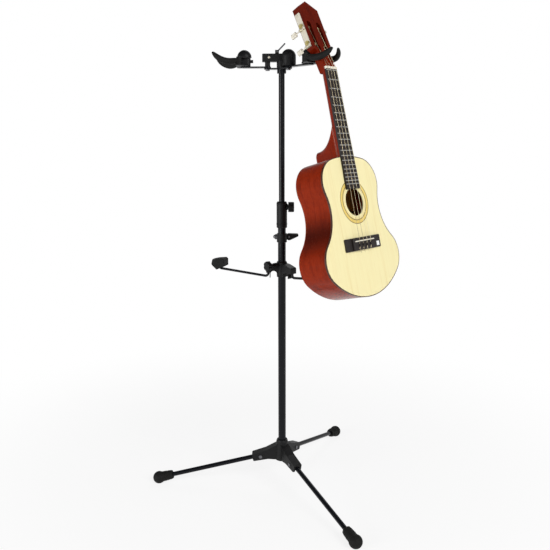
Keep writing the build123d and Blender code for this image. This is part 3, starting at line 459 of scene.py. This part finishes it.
def rosette_inlay():
    """Rings of pale and dark veneer round the sound hole."""
    dark = (0.16, 0.09, 0.01)
    cream = (0.86, 0.73, 0.34)
    yellow = (0.80, 0.60, 0.16)
    brown = (0.50, 0.38, 0.10)
    rings = [(0.0, cream), (0.28, cream), (0.31, dark), (0.41, dark), (0.44, yellow), (0.88, yellow),
             (0.91, dark)]
    inlay = Finish("rosette_inlay", Specular_IOR_Level=0.35, Coat_Weight=0.25, Coat_Roughness=0.2)
    spot = inlay.place(guitar @ Matrix.Translation((0, HOLE_Y, 0)))
    flat = inlay.node("ShaderNodeVectorMath", {"operation": "MULTIPLY"}, {0: spot, 1: (1, 1, 0)})
    across_ring = (inlay.length(flat) - ROSETTE_IN) * (1 / (ROSETTE_OUT - ROSETTE_IN))
    fleck = inlay.noise(inlay.place(guitar, (1, 0.1, 1)), scale=700.0)
    inlay.set("Base Color", inlay.mix(fleck * 0.12, inlay.ramp(across_ring, rings), brown))
    inlay.set("Roughness", fleck * 0.12 + 0.3)
    return inlay.material


def ivory():
    """Cream moulding with a soft cloud in it."""
    pale = (0.86, 0.83, 0.74)
    cream = (0.74, 0.68, 0.54)
    bone = Finish("ivory", Specular_IOR_Level=0.5)
    cloud = bone.noise(bone.place(), scale=180.0, detail=4.0, rough=0.6)
    bone.set("Base Color", bone.mix(cloud, pale, cream))
    bone.set("Roughness", cloud * 0.15 + 0.22)
    bone.bump(cloud, depth=0.00003, strength=0.3)
    return bone.material


def string_line():
    """Wound bass strings on one side of the neck and clear nylon on the other."""
    ridge = (0.62, 0.52, 0.34)
    groove = (0.30, 0.24, 0.14)
    nylon = (0.82, 0.72, 0.46)
    line = Finish("string_line", Specular_IOR_Level=0.6)
    treble = line.part(line.place(guitar), "X").above(0.0)
    winding = line.noise(line.place(guitar, (0.01, 1, 0.01)), scale=2600.0, detail=1.0)
    line.set("Base Color", line.mix(treble, line.mix(winding, ridge, groove), nylon))
    line.set("Metallic", 0.75 - treble * 0.75)
    line.set("Roughness", winding * 0.2 + 0.2)
    return line.material


def pearl():
    """White shell with a cool cloud in it."""
    warm = (0.95, 0.94, 0.90)
    cool = (0.82, 0.84, 0.86)
    shell = Finish("pearl", Specular_IOR_Level=0.6)
    cloud = shell.noise(shell.place(), scale=420.0)
    shell.set("Base Color", shell.mix(cloud, warm, cool))
    shell.set("Roughness", cloud * 0.1 + 0.12)
    return shell.material


BLACK_COAT = black_coat()
MOULDED = moulded_black()
RUBBER = black_rubber()
NICKEL = plated_steel("nickel", bright=(0.74, 0.72, 0.66), dull=(0.60, 0.55, 0.43))
FRET_STEEL = plated_steel("fret_steel", bright=(0.52, 0.52, 0.52), dull=(0.40, 0.40, 0.39))
ZINC = grey_zinc()
BRASS = dull_brass()
SPRUCE = spruce("spruce", pale=(0.90, 0.81, 0.45), line=(0.83, 0.70, 0.33))
INNER_SPRUCE = spruce("inner_spruce", pale=(0.46, 0.24, 0.06), line=(0.32, 0.15, 0.03))
# the sides carry painted shade round the waist
SIDE_WOOD = mahogany("side_wood", dark=(0.120, 0.006, 0.001), bright=(0.290, 0.022, 0.003),
                     stain_and_painted_shade=WAIST_PAINTED_SHADE)
BACK_WOOD = mahogany("back_wood", dark=(0.120, 0.006, 0.001), bright=(0.280, 0.022, 0.003),
                     raw_above=RAW_WOOD_Z)
NECK_WOOD = mahogany("neck_wood", dark=(0.100, 0.004, 0.001), bright=(0.250, 0.016, 0.002),
                     stain_and_painted_shade=HEAD_SHADE)
EBONY = ebony()
EDGE = dark_edge()
INLAY = rosette_inlay()
IVORY = ivory()
STRING = string_line()
PEARL = pearl()

finish_of_slot = {
    "black_tube": BLACK_COAT,
    "black_plastic": MOULDED,
    "black_rubber": RUBBER,
    "bright_steel": NICKEL,
    "grey_steel": ZINC,
    "pale_spruce": SPRUCE,
    "red_mahogany": SIDE_WOOD,
    "dark_edge": EDGE,
    "inlay": INLAY,
    "black_wood": EBONY,
    "white_bone": IVORY,
    "worn_brass": BRASS,
}
finish_of_node = {
    "neck": NECK_WOOD,
    "back_board": BACK_WOOD,
    "strings": STRING,
    "frets": FRET_STEEL,
    "braces": INNER_SPRUCE,
    "linings_and_blocks": INNER_SPRUCE,
}


def dress_cad_nodes():
    """Gives each CAD node its own finish, or else the finish of its slot."""
    for entry in frame["record"]["subparts"]:
        name = entry["node"]
        mesh = nodes[name].data
        mesh.materials.clear()
        mesh.materials.append(finish_of_node.get(name, finish_of_slot[entry["material_slot"]]))


# Small pieces

def make_piece(name, mesh, material, body):
    """Closes the modelling of a piece: outward faces, material and body."""
    bmesh.ops.remove_doubles(mesh, verts=mesh.verts, dist=SAME_SPOT)
    bmesh.ops.recalc_face_normals(mesh, faces=mesh.faces)
    for face in mesh.faces:
        face.smooth = True
    data = bpy.data.meshes.new(name)
    mesh.to_mesh(data)
    mesh.free()
    data.materials.append(material)
    piece = bpy.data.objects.new(name, data)
    bpy.context.scene.collection.objects.link(piece)
    data.set_sharp_from_angle(angle=SHARP_ANGLE)
    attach(piece, body)
    return piece


def facing(spot, direction):
    """Place at a spot whose Z axis points along a direction."""
    place = Vector(direction).to_track_quat("Z", "Y").to_matrix().to_4x4()
    place.translation = spot
    return place


def away_from_mast(turn):
    """Level direction at a turn about the mast."""
    return Vector((cos(radians(turn)), sin(radians(turn)), 0))


def add_ring(mesh, place, radius, thickness, steps):
    """Ring of round wire about the place's Z axis."""
    wire = bmesh.ops.create_circle(mesh, segments=WIRE_SIDES, radius=thickness)["verts"]
    stand_up = Matrix.Translation((radius, 0, 0)) @ Matrix.Rotation(pi / 2, 4, "X")
    bmesh.ops.transform(mesh, matrix=stand_up, verts=wire)
    edges = list({edge for vert in wire for edge in vert.link_edges})
    bmesh.ops.spin(mesh, geom=edges, cent=(0, 0, 0), axis=(0, 0, 1), angle=2 * pi, steps=steps,
                   use_merge=True)
    ring = {vert for vert in wire if vert.is_valid}
    grow = list(ring)
    while grow:
        for edge in grow.pop().link_edges:
            for vert in edge.verts:
                if vert not in ring:
                    ring.add(vert)
                    grow.append(vert)
    bmesh.ops.transform(mesh, matrix=place, verts=list(ring))


def add_screw(mesh, place, radius):
    """Domed screw head with a straight slot, standing up the place's Z axis."""
    flattened = (1, 1, 0.5)
    slot_half = radius * 0.14
    slot_depth = radius * 0.22
    dome_low = radius * 0.2
    verts = bmesh.ops.create_uvsphere(mesh, u_segments=20, v_segments=10, radius=radius)["verts"]
    bmesh.ops.scale(mesh, vec=flattened, verts=verts)
    for side in (-1, 1):
        geom = verts + list({edge for vert in verts for edge in vert.link_edges})
        geom += list({face for vert in verts for face in vert.link_faces})
        cut = bmesh.ops.bisect_plane(mesh, geom=geom, plane_co=(side * slot_half, 0, 0), plane_no=(1, 0, 0))
        verts = list({item for item in cut["geom"] if isinstance(item, bmesh.types.BMVert)})
    slot = [vert for vert in verts if abs(vert.co.x) < slot_half * 1.01 and vert.co.z > dome_low]
    bmesh.ops.translate(mesh, vec=(0, 0, -slot_depth), verts=slot)
    bmesh.ops.transform(mesh, matrix=place, verts=verts)


def tuner_screws():
    """Three screws along each tuner plate."""
    screws = bmesh.new()
    for side in (-1, 1):
        for share in PLATE_SCREWS:
            y = PLATE_LOW + PLATE_LENGTH * share
            spot = head @ Vector((side * (HEAD_HALF + PLATE_THICK), y, ROLLER_Z))
            add_screw(screws, facing(spot, across * side), PLATE_SCREW_R)
    make_piece("tuner_screws", screws, NICKEL, "guitar")


def worm_thread(tuner, side, y):
    """Rings for the thread of one tuner's worm."""
    worm_way = head.to_3x3() @ Vector((0, 0, 1))
    thread = bmesh.new()
    for turn in range(THREAD_TURNS):
        spot = head @ Vector((side * WORM_X, y - WORM_DROP, THREAD_LOW + turn * THREAD_PITCH))
        add_ring(thread, facing(spot, worm_way), THREAD_R, THREAD_WIRE, steps=20)
    make_piece(f"worm_thread_{tuner}", thread, BRASS, f"tuner_button_{tuner}")


def string_winding(tuner, side, y, middle):
    """Rings for the string that is wound on one tuner's roller."""
    winding = bmesh.new()
    for turn in range(WINDING_TURNS):
        x = side * (middle + (turn - (WINDING_TURNS - 1) / 2) * WINDING_PITCH)
        spot = head @ Vector((x, y, ROLLER_Z))
        add_ring(winding, facing(spot, across), ROLLER_R + STRING_R, STRING_R, steps=24)
    make_piece(f"string_winding_{tuner}", winding, STRING, f"tuner_roller_{tuner}")


def tuner_details():
    """Plate screws, worm threads and string windings of the tuners."""
    tuner_screws()
    for side_name, side in (("left", -1), ("right", 1)):
        for row, y in ROLLERS.items():
            worm_thread(f"{side_name}_{row}", side, y)
            string_winding(f"{side_name}_{row}", side, y, WINDINGS[row])


def bridge_tile():
    """Pearl tile let into the bridge's end."""
    tile = bmesh.new()
    verts = bmesh.ops.create_cube(tile, size=1.0)["verts"]
    bmesh.ops.scale(tile, vec=(TILE, TILE, TILE_THICK), verts=verts)
    bmesh.ops.bevel(tile, geom=list(tile.edges), affect="EDGES", offset=TILE_EDGE, segments=2, profile=0.5,
                    material=-1)
    bmesh.ops.transform(tile, matrix=guitar @ Matrix.Translation(TILE_AT), verts=tile.verts)
    make_piece("bridge_tile", tile, PEARL, "guitar")


def string_tails():
    """Two short tails of each string below its pin."""
    tails = bmesh.new()
    for i in range(STRINGS):
        start = Vector((BRIDGE_SPAN * (i / (STRINGS - 1) - 0.5), TAIL_Y, TAIL_Z))
        for lean, reach in TAILS:
            wire = bmesh.ops.create_cone(tails, cap_ends=True, segments=8, radius1=STRING_R,
                                         radius2=TAIL_TIP_R, depth=reach)["verts"]
            way = Vector((lean, -1, -TAIL_FALL)).normalized()
            bmesh.ops.transform(tails, matrix=guitar @ facing(start + way * reach / 2, way), verts=wire)
    make_piece("string_tails", tails, STRING, "guitar")


def stand_details():
    """Head block screw and clutch rings."""
    screw = bmesh.new()
    add_screw(screw, facing(BLOCK_SCREW, (0, -1, 0)), BLOCK_SCREW_R)
    make_piece("head_block_screw", screw, NICKEL, "mast_upper")
    rings = bmesh.new()
    for z in CLUTCH_RINGS:
        add_ring(rings, Matrix.Translation((MAST_X, 0, z)), CLUTCH_RING_R, CLUTCH_RING_WIRE, steps=48)
    make_piece("clutch_rings", rings, MOULDED, "base")


def foot_ridges():
    """Raised rings round the sleeve of each rubber foot."""
    fall = Vector((0, 0, LEG_ROOT_Z - FOOT_Z)) / FOOT_R
    for name, turn in LEG_TURNS.items():
        out = away_from_mast(turn)
        leg_way = (out - fall).normalized()
        middle = Vector((MAST_X, 0, FOOT_Z)) + out * FOOT_R
        ridges = bmesh.new()
        for back in RIDGES:
            radius = RIDGE_R - (back - FOOT_NECK) * FOOT_TAPER
            add_ring(ridges, facing(middle - leg_way * back, leg_way), radius, RIDGE_WIRE, steps=40)
        make_piece(f"foot_ridges_{name}", ridges, RUBBER, f"leg_{name}")


def soft_pads():
    """Rounded rubber pads in the place of the plain backrest blocks, longer behind the arm's end."""
    for name, turn in PAD_TURNS.items():
        node = f"backrest_pad_{name}"
        mesh = bmesh.new()
        mesh.from_mesh(nodes[node].data)
        bmesh.ops.remove_doubles(mesh, verts=mesh.verts, dist=PAD_SAME_SPOT)
        out = away_from_mast(turn)
        front = max(vert.co.dot(out) for vert in mesh.verts)
        rear = [vert for vert in mesh.verts if front - vert.co.dot(out) > PAD_REAR]
        bmesh.ops.translate(mesh, vec=out * -PAD_LONGER, verts=rear)
        pad = make_piece(f"soft_pad_{name}", mesh, RUBBER, f"backrest_{name}")
        remesh = pad.modifiers.new("even", "REMESH")
        remesh.mode = "VOXEL"
        remesh.voxel_size = PAD_VOXEL
        remesh.use_smooth_shade = True
        relax = pad.modifiers.new("round", "SMOOTH")
        relax.factor = 0.5
        relax.iterations = PAD_SMOOTHING
        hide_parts(node)


# Studio

def studio_floor():
    """White paper that keeps the shadow and clears to pure white further away."""
    grey = (0.93, 0.93, 0.93)
    white = (0.95, 0.95, 0.95)
    floor = Finish("studio_floor", Roughness=0.9)
    spot = floor.place()
    floor.set("Base Color", floor.mix(floor.noise(spot, scale=3.0), grey, white))
    seen = floor.ray("Is Camera Ray") + floor.ray("Is Glossy Ray") + floor.ray("Is Transmission Ray")
    clear = floor.fade(floor.length(spot), start=0.35, end=1.5, low=0.84, high=1.0)
    glow = floor.node("ShaderNodeEmission", {}, {"Color": (1, 1, 1, 1), "Strength": 1.0})
    paper = Value(floor, floor.shader.outputs[0])
    both = floor.node("ShaderNodeMixShader", {}, {0: seen * clear, 1: paper, 2: glow})
    floor.feed(floor.tree.nodes["Material Output"].inputs["Surface"], both)
    mesh = bmesh.new()
    bmesh.ops.create_grid(mesh, x_segments=1, y_segments=1, size=FLOOR_HALF)
    data = bpy.data.meshes.new("studio_floor")
    mesh.to_mesh(data)
    mesh.free()
    data.materials.append(floor.material)
    sheet = bpy.data.objects.new("studio_floor", data)
    bpy.context.scene.collection.objects.link(sheet)


def studio_light():
    """White surroundings with a darker ceiling, and three soft boxes."""
    wall_light = 0.6
    wall_gleam = 0.7
    world = bpy.data.worlds.new("studio")
    bpy.context.scene.world = world
    world.use_nodes = True
    sky = Nodes(world.node_tree)
    seen = sky.ray("Is Camera Ray") + sky.ray("Is Transmission Ray")
    mirrored = sky.ray("Is Glossy Ray")
    height = sky.part(sky.node("ShaderNodeTexCoord", {}, {}, "Generated"), "Z")
    ceiling = sky.fade(height, start=0.05, end=0.6, low=1.0, high=0.18)
    lighting = (1 - seen - mirrored) * wall_light
    background = sky.tree.nodes["Background"]
    background.inputs["Color"].default_value = (1, 1, 1, 1)
    sky.feed(background.inputs["Strength"], seen + (mirrored * wall_gleam + lighting) * ceiling)
    soft_box("key_light", spot=(2.0, -2.3, 2.3), size=1.6, power=76.0)
    soft_box("fill_light", spot=(-2.3, -1.7, 0.9), size=1.1, power=40.0)
    soft_box("back_light", spot=(0.6, 2.4, 2.4), size=1.6, power=18.0)


def soft_box(name, spot, size, power):
    """Square lamp that shines on the middle of the stand, about half way up."""
    lamp = bpy.data.lights.new(name, "AREA")
    lamp.shape = "SQUARE"
    lamp.size = size
    lamp.energy = power
    box = bpy.data.objects.new(name, lamp)
    box.matrix_world = facing(Vector(spot), Vector(spot) - LIT_POINT)
    bpy.context.scene.collection.objects.link(box)


def camera():
    """Camera at the photograph's place, for a square frame."""
    right = Vector((cos(HEADING), sin(HEADING), 0))
    ahead = Vector((-sin(HEADING) * cos(PITCH), cos(HEADING) * cos(PITCH), -sin(PITCH)))
    up = right.cross(ahead)
    turned_right = right * cos(ROLL) - up * sin(ROLL)
    turned_up = right * sin(ROLL) + up * cos(ROLL)
    place = Matrix((turned_right, turned_up, -ahead)).transposed().to_4x4()
    place.translation = EYE
    lens = bpy.data.cameras.new("photo_camera")
    lens.sensor_width = SENSOR_WIDTH
    lens.lens = SENSOR_WIDTH * FOCAL_PIXELS / FRAME_PIXELS
    lens.clip_end = 60.0
    view = bpy.data.objects.new("photo_camera", lens)
    view.matrix_world = place
    bpy.context.scene.collection.objects.link(view)
    bpy.context.scene.camera = view


dress_cad_nodes()
tuner_details()
bridge_tile()
string_tails()
stand_details()
foot_ridges()
soft_pads()
studio_floor()
studio_light()
camera()
bpy.context.scene.view_settings.view_transform = "Standard"
